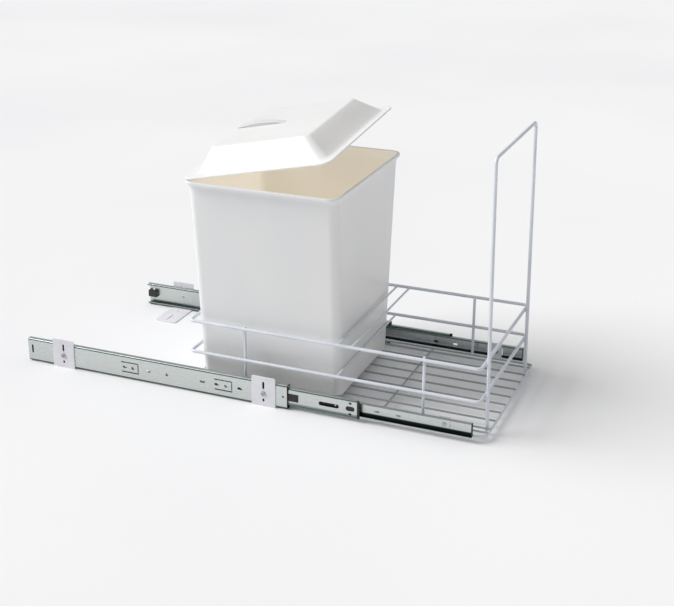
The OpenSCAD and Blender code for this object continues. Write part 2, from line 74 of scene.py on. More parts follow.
# %% [markdown]
# ## Camera
# The unit is seen from its left side, a little from the handle end and from above. A fairly long lens from
# about two and a half metres keeps the wires nearly parallel. The position is turned into an azimuth and an
# elevation, so that the numbers can be read; a small shift places the object in the frame.

# %% Camera
camera = bpy.data.objects.new("camera", bpy.data.cameras.new("camera"))
bpy.context.scene.collection.objects.link(camera)
bpy.context.scene.camera = camera
azimuth, elevation, roll = math.radians(-65.92), math.radians(20.40), math.radians(-0.43)
back = Vector((math.sin(azimuth) * math.cos(elevation), -math.cos(azimuth) * math.cos(elevation),
               math.sin(elevation)))
turn = (-back).to_track_quat("-Z", "Y").to_matrix() @ Matrix.Rotation(roll, 3, "Z")
camera.matrix_world = Matrix.Translation((-2.1414, -0.9795, 1.0808)) @ turn.to_4x4()
camera.data.sensor_width = 36.0
camera.data.lens = 70.33
camera.data.shift_x, camera.data.shift_y = 0.0694, -0.0561
camera.data.clip_start, camera.data.clip_end = 0.05, 60.0
print("camera to the object's middle", round((camera.location - (cad_low + cad_high) / 2).length, 2), "m")

# %% [markdown]
# ## Light
# A pale room with one soft, distant light above and behind the left side. A distant light gives the floor the
# same brightness everywhere, so the floor can serve as a white backdrop. It makes the lid's top the brightest
# surface, leaves the faces towards the handle in soft shade and throws the bin's shadow over the basket. The
# room darkens towards the horizon, and that gives the plated steel its contrast.

# %% Room light
room = bpy.data.worlds.new("room")
bpy.context.scene.world = room
room.use_nodes = True
tree = room.node_tree
tree.nodes.clear()
room_out = tree.nodes.new("ShaderNodeOutputWorld")
room_fill = tree.nodes.new("ShaderNodeBackground")
room_way = tree.nodes.new("ShaderNodeTexCoord")
room_up = tree.nodes.new("ShaderNodeSeparateXYZ")
room_ramp = tree.nodes.new("ShaderNodeValToRGB")
tree.links.new(room_way.outputs["Generated"], room_up.inputs[0])
tree.links.new(room_up.outputs["Z"], room_ramp.inputs["Fac"])
tree.links.new(room_ramp.outputs["Color"], room_fill.inputs["Color"])
tree.links.new(room_fill.outputs[0], room_out.inputs[0])
room_ramp.color_ramp.elements[0].position, room_ramp.color_ramp.elements[0].color = 0.0, (0.40, 0.41, 0.43, 1)
room_ramp.color_ramp.elements[1].position, room_ramp.color_ramp.elements[1].color = 0.6, (0.66, 0.66, 0.66, 1)
room_fill.inputs["Strength"].default_value = 0.77
bpy.context.scene.view_settings.view_transform = "Standard"

key = bpy.data.lights.new("key", "SUN")
key.energy, key.angle = 2.75, math.radians(38)
lamp = bpy.data.objects.new("key", key)
bpy.context.scene.collection.objects.link(lamp)
to_light = Vector((-0.21, 0.75, 0.63)).normalized()
lamp.matrix_world = Matrix.Translation(3 * to_light) @ to_light.to_track_quat("Z", "Y").to_matrix().to_4x4()
print("light stands", round(math.degrees(math.asin(to_light.z))), "degrees above the floor")

# %% [markdown]
# ## Finishes
# Every finish starts from the same small kit: a pattern in object coordinates that varies the colour a
# little, one that varies the roughness, and a fine one that gives the surface a relief. What changes is the
# scale and the strength: powder coat has a fine orange peel, rolled steel has streaks along the slide, and
# moulded plastic has a soft spark-eroded grain. Values that are the same all over are set on the shader
# itself.

# %% Finish kit
def new_finish(name, rough, metal=0.0, coat=0.0, spec=0.5):
    """a material with a shader, and the object coordinates to drive it"""
    mat = bpy.data.materials.new(name)
    mat.use_nodes = True
    shader = mat.node_tree.nodes["Principled BSDF"]
    shader.inputs["Roughness"].default_value = rough
    shader.inputs["Metallic"].default_value = metal
    shader.inputs["Coat Weight"].default_value = coat
    shader.inputs["Specular IOR Level"].default_value = spec
    where = mat.node_tree.nodes.new("ShaderNodeTexCoord")
    return mat, shader, where.outputs["Object"]


def noise(mat, where, scale, stretch=(1, 1, 1), detail=2.0, rough=0.5):
    """a noise value of that scale per metre, stretched along the axes"""
    n = mat.node_tree.nodes
    mapping = n.new("ShaderNodeMapping")
    mapping.inputs["Scale"].default_value = stretch
    made = n.new("ShaderNodeTexNoise")
    made.inputs["Scale"].default_value = scale
    made.inputs["Detail"].default_value = detail
    made.inputs["Roughness"].default_value = rough
    mat.node_tree.links.new(where, mapping.inputs["Vector"])
    mat.node_tree.links.new(mapping.outputs[0], made.inputs["Vector"])
    return made.outputs["Fac"]


def tint(mat, value, low, high, a=0.35, b=0.65):
    """a colour that goes from low to high as value goes from a to b"""
    ramp = mat.node_tree.nodes.new("ShaderNodeValToRGB")
    ramp.color_ramp.elements[0].position, ramp.color_ramp.elements[0].color = a, (*low, 1)
    ramp.color_ramp.elements[1].position, ramp.color_ramp.elements[1].color = b, (*high, 1)
    mat.node_tree.links.new(value, ramp.inputs["Fac"])
    return ramp.outputs["Color"]


def blend_colours(mat, value, first, second):
    mix = mat.node_tree.nodes.new("ShaderNodeMix")
    mix.data_type = "RGBA"
    mat.node_tree.links.new(value, mix.inputs["Factor"])
    mat.node_tree.links.new(first, mix.inputs[6])
    mat.node_tree.links.new(second, mix.inputs[7])
    return mix.outputs[2]


def spread(mat, value, low, high):
    """value from 0.3 to 0.7 mapped to low and high"""
    to = mat.node_tree.nodes.new("ShaderNodeMapRange")
    to.inputs["From Min"].default_value, to.inputs["From Max"].default_value = 0.3, 0.7
    to.inputs["To Min"].default_value, to.inputs["To Max"].default_value = low, high
    mat.node_tree.links.new(value, to.inputs["Value"])
    return to.outputs["Result"]


def relief(mat, shader, value, depth, strength=0.5, under=None):
    """raises the surface by value; under is a relief that lies beneath this one"""
    bump = mat.node_tree.nodes.new("ShaderNodeBump")
    bump.inputs["Distance"].default_value = depth
    bump.inputs["Strength"].default_value = strength
    mat.node_tree.links.new(value, bump.inputs["Height"])
    if under is not None:
        mat.node_tree.links.new(under, bump.inputs["Normal"])
    mat.node_tree.links.new(bump.outputs[0], shader.inputs["Normal"])
    return bump.outputs[0]


def join(mat, value, shader, socket):
    mat.node_tree.links.new(value, shader.inputs[socket])


# %% [markdown]
# ### Coated finishes
# The wire is dipped in hot plastic powder: slightly bluish white, smooth, with an orange peel of about a
# millimetre. The thin grid wires under the load have the same coat, but are given a darker grey as painted
# shade for the shade that lies on them. The brackets have a flat, pale lavender coat with a fine sandy grain.

# %% Coated finishes
def wire_coat(name, low, high):
    mat, shader, where = new_finish(name, 0.34, coat=0.25)
    peel = noise(mat, where, 900, detail=1.0)
    cloud = noise(mat, where, 14, detail=3.0)
    join(mat, tint(mat, cloud, low, high), shader, "Base Color")
    join(mat, spread(mat, peel, 0.28, 0.42), shader, "Roughness")
    relief(mat, shader, peel, 0.00012, 0.4)
    return mat


def bracket_coat():
    mat, shader, where = new_finish("bracket_coat", 0.6, spec=0.4)
    sand = noise(mat, where, 2600, detail=2.0)
    cloud = noise(mat, where, 40, detail=4.0)
    join(mat, tint(mat, cloud, (0.72, 0.72, 0.76), (0.79, 0.79, 0.825)), shader, "Base Color")
    join(mat, spread(mat, sand, 0.5, 0.7), shader, "Roughness")
    relief(mat, shader, sand, 0.0001, 0.5)
    return mat


WIRE_COAT = wire_coat("wire_coat", (0.64, 0.67, 0.73), (0.72, 0.75, 0.80))
# painted shade: the grid wires share the wire coat but get a darker grey
GRID_PAINTED_SHADE = wire_coat("grid_painted_shade", (0.30, 0.31, 0.33), (0.38, 0.39, 0.41))
BRACKET_COAT = bracket_coat()
print("coated finishes", WIRE_COAT.name, BRACKET_COAT.name)

# %% [markdown]
# ### Metals
# The slides are rolled from strip and plated with bright zinc. Rolling leaves fine streaks along the slide,
# and the plating's passivation layer shifts between a green and a blue grey in patches. Screws have the same
# plate without streaks, and the balls are polished.

# %% Metals
# painted shade: height bands darken each member in its ball grooves, as painted shade and dark reflection
BAND_SPAN = 50  # height in mm that a member's bands are spread over
DARK = 0.5  # a band under this brightness turns teal


def paint_band_shade(mat, where, colour, shade_bands):
    """paints shade by height: shade_bands pair a height in mm with a brightness; dark ones turn teal, a
    painted reflection
    """
    n, links = mat.node_tree.nodes, mat.node_tree.links
    split, to = n.new("ShaderNodeSeparateXYZ"), n.new("ShaderNodeMapRange")
    to.inputs["From Max"].default_value = BAND_SPAN * MM
    ramp, mix = n.new("ShaderNodeValToRGB"), n.new("ShaderNodeMix")
    mix.data_type, mix.blend_type = "RGBA", "MULTIPLY"
    mix.inputs["Factor"].default_value = 1.0
    stops = ramp.color_ramp.elements
    for k, (z, f) in enumerate(shade_bands):
        stop = stops[k] if k < 2 else stops.new(z / BAND_SPAN)
        red, blue = (0.6, 0.92) if f < DARK else (1.0, 1.0)
        stop.position, stop.color = z / BAND_SPAN, (f * red, f, f * blue, 1)
    links.new(where, split.inputs[0])
    links.new(split.outputs["Z"], to.inputs["Value"])
    links.new(to.outputs["Result"], ramp.inputs["Fac"])
    links.new(colour, mix.inputs[6])
    links.new(ramp.outputs["Color"], mix.inputs[7])
    return mix.outputs[2], split


def paint_dark_strips(mat, split, colour, spots):
    """paints near-black strips across the slide: painted shade behind the bracket slots, and the cut ends;
    spots are (y, half width, least distance from the middle plane)
    """
    n, links = mat.node_tree.nodes, mat.node_tree.links
    aside = n.new("ShaderNodeMath")
    aside.operation = "ABSOLUTE"
    links.new(split.outputs["X"], aside.inputs[0])
    for y, half, outside in spots:
        near, far, both = (n.new("ShaderNodeMath") for k in range(3))
        near.operation, far.operation, both.operation = "COMPARE", "GREATER_THAN", "MULTIPLY"
        near.inputs[1].default_value, near.inputs[2].default_value = y, half
        far.inputs[1].default_value = outside
        links.new(split.outputs["Y"], near.inputs[0])
        links.new(aside.outputs[0], far.inputs[0])
        links.new(near.outputs[0], both.inputs[0])
        links.new(far.outputs[0], both.inputs[1])
        mix = n.new("ShaderNodeMix")
        mix.data_type = "RGBA"
        mix.inputs[7].default_value = (0.012, 0.014, 0.014, 1)
        links.new(both.outputs[0], mix.inputs["Factor"])
        links.new(colour, mix.inputs[6])
        colour = mix.outputs[2]
    return colour


def rolled_zinc(name, shade_bands, spots=()):
    mat, shader, where = new_finish(name, 0.3, metal=1.0)
    streak = noise(mat, where, 1, stretch=(1800, 14, 1800), detail=3.0)
    patch = noise(mat, where, 1, stretch=(30, 9, 30), detail=3.0)
    spangle = noise(mat, where, 300, detail=2.0)
    green = tint(mat, streak, (0.57, 0.60, 0.57), (0.65, 0.68, 0.645))
    blue = tint(mat, spangle, (0.58, 0.615, 0.62), (0.66, 0.695, 0.70))
    colour, split = paint_band_shade(mat, where, blend_colours(mat, patch, green, blue), shade_bands)
    join(mat, paint_dark_strips(mat, split, colour, spots), shader, "Base Color")
    join(mat, spread(mat, streak, 0.22, 0.38), shader, "Roughness")
    shader.inputs["Anisotropic"].default_value = 0.35
    fine = relief(mat, shader, streak, 0.00003, 0.25)
    relief(mat, shader, patch, 0.0003, 0.1, under=fine)
    return mat


def plated_screw():
    mat, shader, where = new_finish("plated_screw", 0.32, metal=1.0)
    mottle = noise(mat, where, 500, detail=3.0)
    join(mat, tint(mat, mottle, (0.34, 0.36, 0.37), (0.52, 0.54, 0.55)), shader, "Base Color")
    join(mat, spread(mat, mottle, 0.24, 0.42), shader, "Roughness")
    relief(mat, shader, mottle, 0.00006, 0.4)
    return mat


def polished_ball():
    mat, shader, where = new_finish("polished_ball", 0.1, metal=1.0)
    grease = noise(mat, where, 260, detail=2.0)
    join(mat, tint(mat, grease, (0.58, 0.58, 0.58), (0.72, 0.72, 0.73)), shader, "Base Color")
    join(mat, spread(mat, grease, 0.07, 0.2), shader, "Roughness")
    relief(mat, shader, grease, 0.00003, 0.2)
    return mat


# painted shade: each member is painted darkest in the grooves in which its balls run, close to its two edges
PAINTED_GROOVE_SHADE = {
    "drawer": [(0, 0.2), (11.9, 0.5), (12.4, 0.05), (18.0, 0.06), (19.2, 0.9),
               (35.0, 1.0), (36.1, 0.2), (37.4, 0.25), (38.0, 0.8)],
    "middle": [(0, 0.4), (8.2, 0.8), (8.8, 0.2), (10.4, 0.25), (13.6, 0.5), (15.6, 0.95),
               (38.6, 1.0), (40.2, 0.22), (41.4, 0.3), (42.2, 0.9)],
    "cabinet": [(0, 0.4), (2.8, 0.5), (3.3, 0.12), (4.3, 0.16), (5.2, 0.95),
                (44.4, 1.0), (45.2, 0.16), (46.5, 0.2), (47.3, 0.9)],
}
web_outside, slot_shade_half, cut_half = 0.1798, 9 * MM, 1.3 * MM
ZINC = {}
for side in ("left", "right"):
    low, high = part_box(side + "_cabinet_member")
    brackets = [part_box(side + end) for end in ("_front_bracket", "_rear_bracket")]
    # painted shade fills the gap behind a bracket's slots, and the cut front end is painted near-black too
    spots = [((b[0].y + b[1].y) / 2, slot_shade_half, web_outside) for b in brackets] + [(low.y, cut_half, 0.0)]
    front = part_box(side + "_drawer_member")[0].y
    ZINC[side + "_cabinet"] = rolled_zinc(side + "_cabinet_zinc", PAINTED_GROOVE_SHADE["cabinet"], spots)
    ZINC[side + "_middle"] = rolled_zinc(side + "_middle_zinc", PAINTED_GROOVE_SHADE["middle"])
    ZINC[side + "_drawer"] = rolled_zinc(side + "_drawer_zinc", PAINTED_GROOVE_SHADE["drawer"], [(front, 1.2 * MM, 0.0)])
ROLLED_ZINC = rolled_zinc("cage_zinc", [(0, 0.8), (50, 0.8)])
PLATED_SCREW, POLISHED_BALL = plated_screw(), polished_ball()
print("metals", sorted(m.name for m in ZINC.values()), PLATED_SCREW.name, POLISHED_BALL.name)

# %% [markdown]
# ### Plastics
# The bin is a light grey-white outside and a warm beige inside. Its moulded skin is satin: long, weak waves
# from the mould under a fine grain. Thin walls let some light seep through, and the lining also gets a faint
# painted glow, an emission that stands in for that light. The lid is whiter. The small stops, caps and levers
# are black with a coarser grain.

# %% Plastics
def moulded(name, low, high, rough_low, rough_high, grain, grain_depth, wave_depth, spec=0.5, glow=0.0):
    """satin plastic: a fine grain over long, weak waves; glow is the weight of light inside the wall"""
    mat, shader, where = new_finish(name, rough_low, spec=spec)
    shader.inputs["Subsurface Weight"].default_value = glow
    shader.inputs["Subsurface Radius"].default_value = (1.0, 0.98, 0.94)
    shader.inputs["Subsurface Scale"].default_value = 0.02
    fine = noise(mat, where, grain, detail=2.0)
    wave = noise(mat, where, 9, stretch=(1, 1, 0.45), detail=1.5)
    smear = noise(mat, where, 60, stretch=(1, 1, 0.3), detail=4.0)
    join(mat, tint(mat, wave, low, high), shader, "Base Color")
    join(mat, spread(mat, smear, rough_low, rough_high), shader, "Roughness")
    waves = relief(mat, shader, wave, wave_depth, 0.5)
    relief(mat, shader, fine, grain_depth, 0.45, under=waves)
    return mat


BIN_SHELL = moulded("bin_shell", (0.79, 0.80, 0.81), (0.815, 0.82, 0.825), 0.30, 0.36,
                    1500, 0.00005, 0.0002, glow=0.12)
BIN_LINING = moulded("bin_lining", (0.84, 0.78, 0.66), (0.88, 0.82, 0.70), 0.42, 0.5,
                     1500, 0.00006, 0.0002, glow=0.5)
lining_with_painted_glow = BIN_LINING.node_tree.nodes["Principled BSDF"]
# painted light: a faint beige emission on the lining
lining_with_painted_glow.inputs["Emission Color"].default_value = (0.86, 0.76, 0.60, 1)
lining_with_painted_glow.inputs["Emission Strength"].default_value = 0.16
LID_SHELL = moulded("lid_shell", (0.86, 0.86, 0.86), (0.90, 0.90, 0.90), 0.32, 0.40,
                    1500, 0.00005, 0.0002, glow=0.2)
BLACK_PLASTIC = moulded("black_plastic", (0.012, 0.012, 0.014), (0.022, 0.022, 0.024), 0.36, 0.55,
                        2200, 0.0001, 0.0004)
print("plastics", BIN_SHELL.name, BIN_LINING.name, LID_SHELL.name, BLACK_PLASTIC.name)

# %% [markdown]
# ## From bmesh to a finished piece
# A piece is modelled in its final place, so its object stays at the origin, unturned. This helper makes the
# mesh, shades it smooth with crisp edges where the surface turns sharply, parents it to the body it moves
# with, hides the engineering solids it stands for and gives the mesh its finishes.

# %% Piece helper
def make_piece(name, bm, body, stands_for, finishes, crease=38, outward=True):
    if outward:
        bmesh.ops.recalc_face_normals(bm, faces=bm.faces)
    mesh = bpy.data.meshes.new(name)
    bm.to_mesh(mesh)
    bm.free()
    mesh.polygons.foreach_set("use_smooth", [True] * len(mesh.polygons))
    mesh.set_sharp_from_angle(angle=math.radians(crease))
    for finish in finishes:
        mesh.materials.append(finish)
    piece = bpy.data.objects.new(name, mesh)
    bpy.context.scene.collection.objects.link(piece)
    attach(piece, body)
    if stands_for:
        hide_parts(*stands_for)
    print(name, "faces", len(mesh.polygons), "rides on", body)
    return piece


# %% [markdown]
# ## Bent wire
# Wire is drawn round, cut and bent on pegs. The same steps work here: a circle is the cut end, a straight
# length is an extrusion of that circle, and a bend is a spin of the last circle round the peg. That keeps the
# section truly round through each bend, which a bevelled curve with sharp corners wouldn't.

# %% Bending kit
SIDES = 20


def wire_end(bm, place, way, radius):
    """the circle that a wire starts with; returns its edges"""
    stand = Matrix.Translation(place) @ Vector(way).to_track_quat("Z", "Y").to_matrix().to_4x4()
    made = bmesh.ops.create_circle(bm, cap_ends=False, segments=SIDES, radius=radius, matrix=stand)
    return list({e for v in made["verts"] for e in v.link_edges})


def straight(bm, ring, way):
    """extrudes the last circle along way; returns the new last circle"""
    made = bmesh.ops.extrude_edge_only(bm, edges=ring)["geom"]
    verts = [g for g in made if isinstance(g, bmesh.types.BMVert)]
    bmesh.ops.translate(bm, vec=Vector(way), verts=verts)
    return [g for g in made if isinstance(g, bmesh.types.BMEdge)]


def bend(bm, ring, peg, axis, degrees, steps=8):
    """spins the last circle round a peg; returns the new last circle"""
    verts = list({v for e in ring for v in e.verts})
    made = bmesh.ops.spin(bm, geom=verts + ring, cent=Vector(peg), axis=Vector(axis), dvec=(0, 0, 0),
                          angle=math.radians(degrees), space=Matrix.Identity(4), steps=steps,
                          use_merge=False, use_normal_flip=False, use_duplicate=False)["geom_last"]
    return [g for g in made if isinstance(g, bmesh.types.BMEdge)]


def closed_ring(bm, low, high, radius, peg):
    """a rectangle of wire in a level plane, from the outside box low..high, with bends of radius peg"""
    z = (low.z + high.z) / 2
    x0, x1, y0, y1 = low.x + radius, high.x - radius, low.y + radius, high.y - radius
    ring = wire_end(bm, (x0 + peg, y0, z), (1, 0, 0), radius)
    for centre, way in (((x1 - peg, y0 + peg, z), (x1 - x0 - 2 * peg, 0, 0)),
                        ((x1 - peg, y1 - peg, z), (0, y1 - y0 - 2 * peg, 0)),
                        ((x0 + peg, y1 - peg, z), (-(x1 - x0 - 2 * peg), 0, 0)),
                        ((x0 + peg, y0 + peg, z), (0, -(y1 - y0 - 2 * peg), 0))):
        ring = bend(bm, straight(bm, ring, way), centre, (0, 0, 1), 90)
    bmesh.ops.remove_doubles(bm, verts=bm.verts, dist=1e-5)


def rod(bm, start, end, radius, rounding=0.35):
    """a straight cut wire with a rounded edge at both ends"""
    start, end = Vector(start), Vector(end)
    way = end - start
    stand = Matrix.Translation((start + end) / 2) @ way.to_track_quat("Z", "Y").to_matrix().to_4x4()
    made = bmesh.ops.create_cone(bm, cap_ends=True, cap_tris=False, segments=SIDES, radius1=radius,
                                 radius2=radius, depth=way.length, matrix=stand)["verts"]
    rims = [e for e in {e for v in made for e in v.link_edges} if any(len(f.verts) > 4 for f in e.link_faces)]
    bmesh.ops.bevel(bm, geom=rims, offset=radius * rounding, offset_type="OFFSET", affect="EDGES", segments=2,
                    profile=0.5, material=-1, clamp_overlap=True)


def cap_end(bm, ring):
    """closes a wire's last circle"""
    bmesh.ops.edgeloop_fill(bm, edges=ring)


# %% [markdown]
# ### Rings
# Three closed rings hold the frame together: one under the floor, and two round the bin. Each is bent from
# one wire, and its two ends are welded butt to butt.

# %% Rings
RINGS = {"upper_ring": 9 * MM, "lower_ring": 9 * MM, "base_ring": 17 * MM}
for ring_name, peg in RINGS.items():
    low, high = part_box(ring_name)
    bm = bmesh.new()
    closed_ring(bm, low, high, (high.z - low.z) / 2, peg)
    make_piece("bent_" + ring_name, bm, "frame", [ring_name], [WIRE_COAT])

# %% [markdown]
# ### Handle
# The handle is one heavier wire, bent twice, that stands on the base ring and leans back by less than a
# degree. It is bent upright and then leant as a whole, as a fitter would do it.

# %% Handle
low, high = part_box("handle_loop")
lean = math.radians(0.8)
loop_radius, loop_bend = 3.25 * MM, 11 * MM
foot = low.z + 0.05 * MM
half = (high.x - low.x) / 2 - loop_radius
rise = (high.z - foot) / math.cos(lean) - loop_radius
bm = bmesh.new()
ring = wire_end(bm, (-half, 0, 0), (0, 0, 1), loop_radius)
cap_end(bm, ring)
ring = straight(bm, ring, (0, 0, rise - loop_bend))
ring = bend(bm, ring, (-half + loop_bend, 0, rise - loop_bend), (0, 1, 0), 90)
ring = straight(bm, ring, (2 * (half - loop_bend), 0, 0))
ring = bend(bm, ring, (half - loop_bend, 0, rise - loop_bend), (0, 1, 0), 90)
ring = straight(bm, ring, (0, 0, -(rise - loop_bend)))
cap_end(bm, ring)
lean_back = Matrix.Rotation(-lean, 4, "X")
bmesh.ops.transform(bm, matrix=Matrix.Translation((0, low.y + loop_radius, foot)) @ lean_back, verts=bm.verts)
handle = make_piece("bent_handle", bm, "frame", ["handle_loop"], [WIRE_COAT])
print("handle top", round(max(v.co.z for v in handle.data.vertices) / MM, 2), "of", round(high.z / MM, 2))

# %% [markdown]
# ### Straight wires
# Posts, dividers, floor wires and cross wires are cut lengths. Their ends are rounded by the coat, so each
# rod is a cylinder whose two end edges are bevelled.

# %% Straight wires
post_low, post_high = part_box("side_posts")
post_r = 2.7 * MM
post_x, post_ys = post_high.x - post_r, (post_low.y + post_r, post_high.y - post_r)
bm = bmesh.new()
for x in (-post_x, post_x):
    for y in post_ys:
        rod(bm, (x, y, post_low.z), (x, y, post_high.z), post_r, 0.5)
make_piece("cut_posts", bm, "frame", ["side_posts"], [WIRE_COAT])

floor_low, floor_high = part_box("floor_wires")
floor_r = (floor_high.z - floor_low.z) / 2
floor_z = floor_low.z + floor_r
floor_xs = [k * 34.3 * MM for k in range(-4, 5)] + [-post_x, post_x]
bm = bmesh.new()
for x in floor_xs:
    rod(bm, (x, floor_low.y, floor_z), (x, floor_high.y, floor_z), floor_r, 0.5)
make_piece("cut_floor_wires", bm, "frame", ["floor_wires"], [GRID_PAINTED_SHADE])

cross_low, cross_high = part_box("cross_wires")
cross_r = (cross_high.z - cross_low.z) / 2
cross_ys = (cross_low.y + cross_r, cross_high.y - cross_r)
bm = bmesh.new()
for y in cross_ys:
    rod(bm, (cross_low.x, y, cross_low.z + cross_r), (cross_high.x, y, cross_low.z + cross_r), cross_r, 0.5)
make_piece("cut_cross_wires", bm, "frame", ["cross_wires"], [GRID_PAINTED_SHADE])

divider_spots = []
for divider in ("upper_dividers", "lower_divider"):
    low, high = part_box(divider)
    r = (high.z - low.z) / 2
    spots = sorted({round(low.y + r, 6), round(high.y - r, 6)})
    divider_spots += [(y, low.z + r, high.x) for y in spots]
    bm = bmesh.new()
    for y in spots:
        rod(bm, (low.x, y, low.z + r), (high.x, y, low.z + r), r, 0.4)
    make_piece("cut_" + divider, bm, "frame", [divider], [WIRE_COAT])

# %% [markdown]
# ### Welds
# Where two wires cross they are resistance-welded, and the powder pools round the joint. A small flattened
# ball at each crossing stands for that fillet; without them the wires look laid on each other.

# %% Welds
base_low, base_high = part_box("base_ring")
base_r = (base_high.z - base_low.z) / 2
ring_boxes = [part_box(n) for n in ("upper_ring", "lower_ring")]


def weld(bm, place, size):
    """a flattened ball of coat, size along X, Y and Z"""
    stand = Matrix.Translation(place) @ Matrix.Diagonal((*[s * MM for s in size], 1))
    bmesh.ops.create_icosphere(bm, subdivisions=2, radius=1.0, matrix=stand)


bm = bmesh.new()
for x in floor_xs:
    for y in (base_low.y + base_r, base_high.y - base_r):
        weld(bm, (x, y, base_high.z), (2.3, 2.6, 0.9))
    for y in cross_ys:
        weld(bm, (x, y, floor_low.z), (2.0, 2.0, 0.7))
for side in (-1, 1):
    for y in cross_ys:
        weld(bm, (side * cross_high.x, y, cross_low.z + cross_r), (1.1, 2.4, 2.2))
    for y in post_ys:
        weld(bm, (side * post_x, y, floor_high.z), (2.9, 2.9, 1.1))
        for low, high in ring_boxes:
            weld(bm, (side * (post_x + post_r), y, (low.z + high.z) / 2), (1.0, 2.8, 3.1))
    for y, z, x in divider_spots:
        weld(bm, (side * x, y, z), (1.0, 2.5, 2.4))
    for low, high in ring_boxes:
        z = (low.z + high.z) / 2
        weld(bm, (side * half, low.y - 0.1 * MM, z), (3.0, 0.9, 3.0))
    weld(bm, (side * half, base_low.y + 2 * base_r, (base_low.z + base_high.z) / 2), (3.0, 0.9, 2.6))
make_piece("weld_beads", bm, "frame", [], [WIRE_COAT])

# %% [markdown]
# ## Rounded levels
# The bin and the lid are both stacks of rounded rectangles. A level is made with a one-cell grid whose four
# corners are bevelled, and its face is taken away so that only the outline stays. Two neighbouring outlines
# have the same number of corners, so joining them in order gives a clean wall.

# %% Level kit
def level(bm, width, depth, radius, z, centre, steps=9):
    """the outline of a rounded rectangle at height z; returns its edges"""
    stand = Matrix.Translation((centre[0], centre[1], z)) @ Matrix.Diagonal((width, depth, 1, 1))
    made = bmesh.ops.create_grid(bm, x_segments=1, y_segments=1, size=0.5, matrix=stand)["verts"]
    cut = bmesh.ops.bevel(bm, geom=made, offset=radius, offset_type="OFFSET", affect="VERTICES",
                          segments=steps, profile=0.5, material=-1, clamp_overlap=True)
    around = set(cut["verts"])
    face = next(f for f in bm.faces if set(f.verts) <= around and len(f.verts) > 8)
    edges = list(face.edges)
    bmesh.ops.delete(bm, geom=[face], context="FACES_ONLY")
    return edges


def in_order(edges):
    """the corners of an outline, counted round from the upper end of its right side"""
    verts = list({v for e in edges for v in e.verts})
    mid = sum((v.co for v in verts), Vector()) / len(verts)
    first = max(verts, key=lambda v: (round(v.co.x, 6), v.co.y))
    start = math.atan2(first.co.y - mid.y, first.co.x - mid.x) - 1e-4
    return sorted(verts, key=lambda v: (math.atan2(v.co.y - mid.y, v.co.x - mid.x) - start) % (2 * math.pi))


def wall(bm, lower, upper, finish=0):
    """the wall between two outlines, corner by corner, so that it never twists"""
    low_ring, high_ring = in_order(lower), in_order(upper)
    for k in range(len(low_ring)):
        face = bm.faces.new((low_ring[k - 1], low_ring[k], high_ring[k], high_ring[k - 1]))
        face.material_index = finish


def close_level(bm, edges, finish=0):
    for f in bmesh.ops.edgeloop_fill(bm, edges=edges)["faces"]:
        f.material_index = finish


# %% [markdown]
# ## Bin
# A deep, tapered tub. Its wall flares out under the rim, and the rim is a thick rolled edge that stiffens it.
# The levels go up the outside, over the rim and down the inside, so the tub has a real wall thickness and one
# closed skin; the levels on the inside take the beige lining.

# %% Bin
bin_low, bin_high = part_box("container")
bin_mid = ((bin_low.x + bin_high.x) / 2, (bin_low.y + bin_high.y) / 2)
rim_w, rim_d = bin_high.x - bin_low.x, bin_high.y - bin_low.y
base_w, base_d, neck_w, neck_d, skin = 248 * MM, 283 * MM, rim_w - 25 * MM, rim_d - 8 * MM, 2.5 * MM
top = bin_high.z
# share of the flare that each step has reached, and how far it lies under the rim's top
FLARE = [(0.0, 17), (0.04, 14.6), (0.14, 12.2), (0.33, 9.8), (0.62, 8.0), (0.93, 6.9)]


def body_level(share, inset=0.0, radius_less=0.0, z=None):
    """a level of the tapered body; share 0 is the bottom and 1 the neck"""
    foot_z, neck_z = bin_low.z + 5 * MM, top - 17 * MM
    w, d = base_w + (neck_w - base_w) * share - 2 * inset, base_d + (neck_d - base_d) * share - 2 * inset
    z = foot_z + (neck_z - foot_z) * share if z is None else z
    return level(bm, w, d, (17 + share) * MM - radius_less, z, bin_mid)


bm = bmesh.new()
outside = []
for less, radius, up in ((9, 12.5, 0.0), (5.4, 14.3, 0.5), (2.4, 15.8, 1.8), (0.5, 16.7, 3.6)):
    w, d, z = base_w - less * MM, base_d - less * MM, bin_low.z + up * MM
    outside.append(level(bm, w, d, radius * MM, z, bin_mid))
outside += [body_level(s) for s in (0.0, 0.25, 0.5, 0.75, 0.97)]
for share, drop in FLARE:
    w, d = neck_w + (rim_w - 3.4 * MM - neck_w) * share, neck_d + (rim_d - 2 * MM - neck_d) * share
    outside.append(level(bm, w, d, (18 + 2 * share) * MM, top - drop * MM, bin_mid))
for less, radius, drop in ((2.4, 20, 6.6), (0.8, 20.8, 6.1), (0.0, 21, 5.0), (0.0, 21, 2.0), (0.8, 20.6, 0.8),
                           (2.8, 19.6, 0.15), (5.0, 18.5, 0.0), (7.6, 17.6, 0.35), (9.4, 17, 1.4)):
    outside.append(level(bm, rim_w - less * MM, rim_d - less * MM, radius * MM, top - drop * MM, bin_mid))
inside = [level(bm, rim_w - 16 * MM, rim_d - 11.6 * MM, 17 * MM, top - 4 * MM, bin_mid),
          level(bm, rim_w - 24 * MM, rim_d - 12.6 * MM, 16.4 * MM, top - 9 * MM, bin_mid)]
inside += [body_level(s, skin, 2.5 * MM) for s in (1.0, 0.75, 0.5, 0.25, 0.02)]
inside += [body_level(0.0, skin + 1.2 * MM, 3.5 * MM, bin_low.z + 4.2 * MM),
           body_level(0.0, skin + 4 * MM, 6 * MM, bin_low.z + skin)]
close_level(bm, outside[0])
for lower, upper in zip(outside, outside[1:]):
    wall(bm, lower, upper)
wall(bm, outside[-1], inside[0], 1)
for upper, lower in zip(inside, inside[1:]):
    wall(bm, upper, lower, 1)
close_level(bm, inside[-1], 1)
